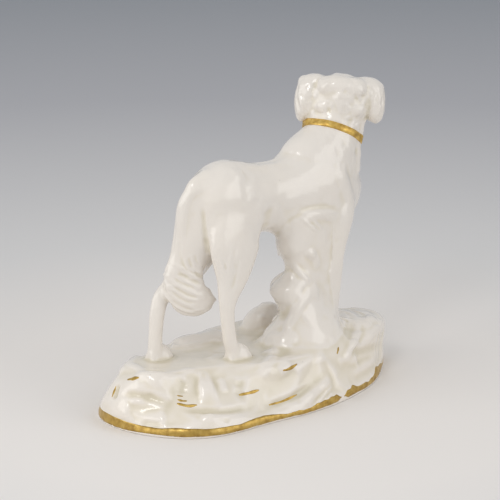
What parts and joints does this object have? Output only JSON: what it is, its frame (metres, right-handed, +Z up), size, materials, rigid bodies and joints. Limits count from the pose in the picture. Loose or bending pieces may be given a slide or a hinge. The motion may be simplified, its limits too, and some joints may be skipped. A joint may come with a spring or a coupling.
{
  "type": "porcelain dog figure",
  "caption": "Standing white porcelain gun dog with turned head, gilt collar and feathered tail, propped by a rock under the chest on a rocky oval base edged in gilding.",
  "frame": {"origin": "on the flat underside, at the middle of the base", "axes": "+X the way the dog's body faces, +Y to the dog's left, +Z up"},
  "size_m": [0.1213, 0.0603, 0.1075],
  "materials": {
    "porcelain": "gloss",
    "unglazed_foot": "matte",
    "gilding": "worn gloss"
  },
  "bodies": {
    "root": {"base_mound": "porcelain", "base_floor": "unglazed_foot", "gilt_line": "gilding", "rock_support": "porcelain", "front_bank": "porcelain", "far_boulder": "porcelain", "far_ledge": "porcelain", "torso": "porcelain", "head": "porcelain", "ear_left": "porcelain", "ear_right": "porcelain", "collar": "gilding", "hind_leg_left": "porcelain", "hind_leg_right": "porcelain", "foreleg_left": "porcelain", "foreleg_right": "porcelain", "tail": "porcelain"}
  },
  "joints": []
}
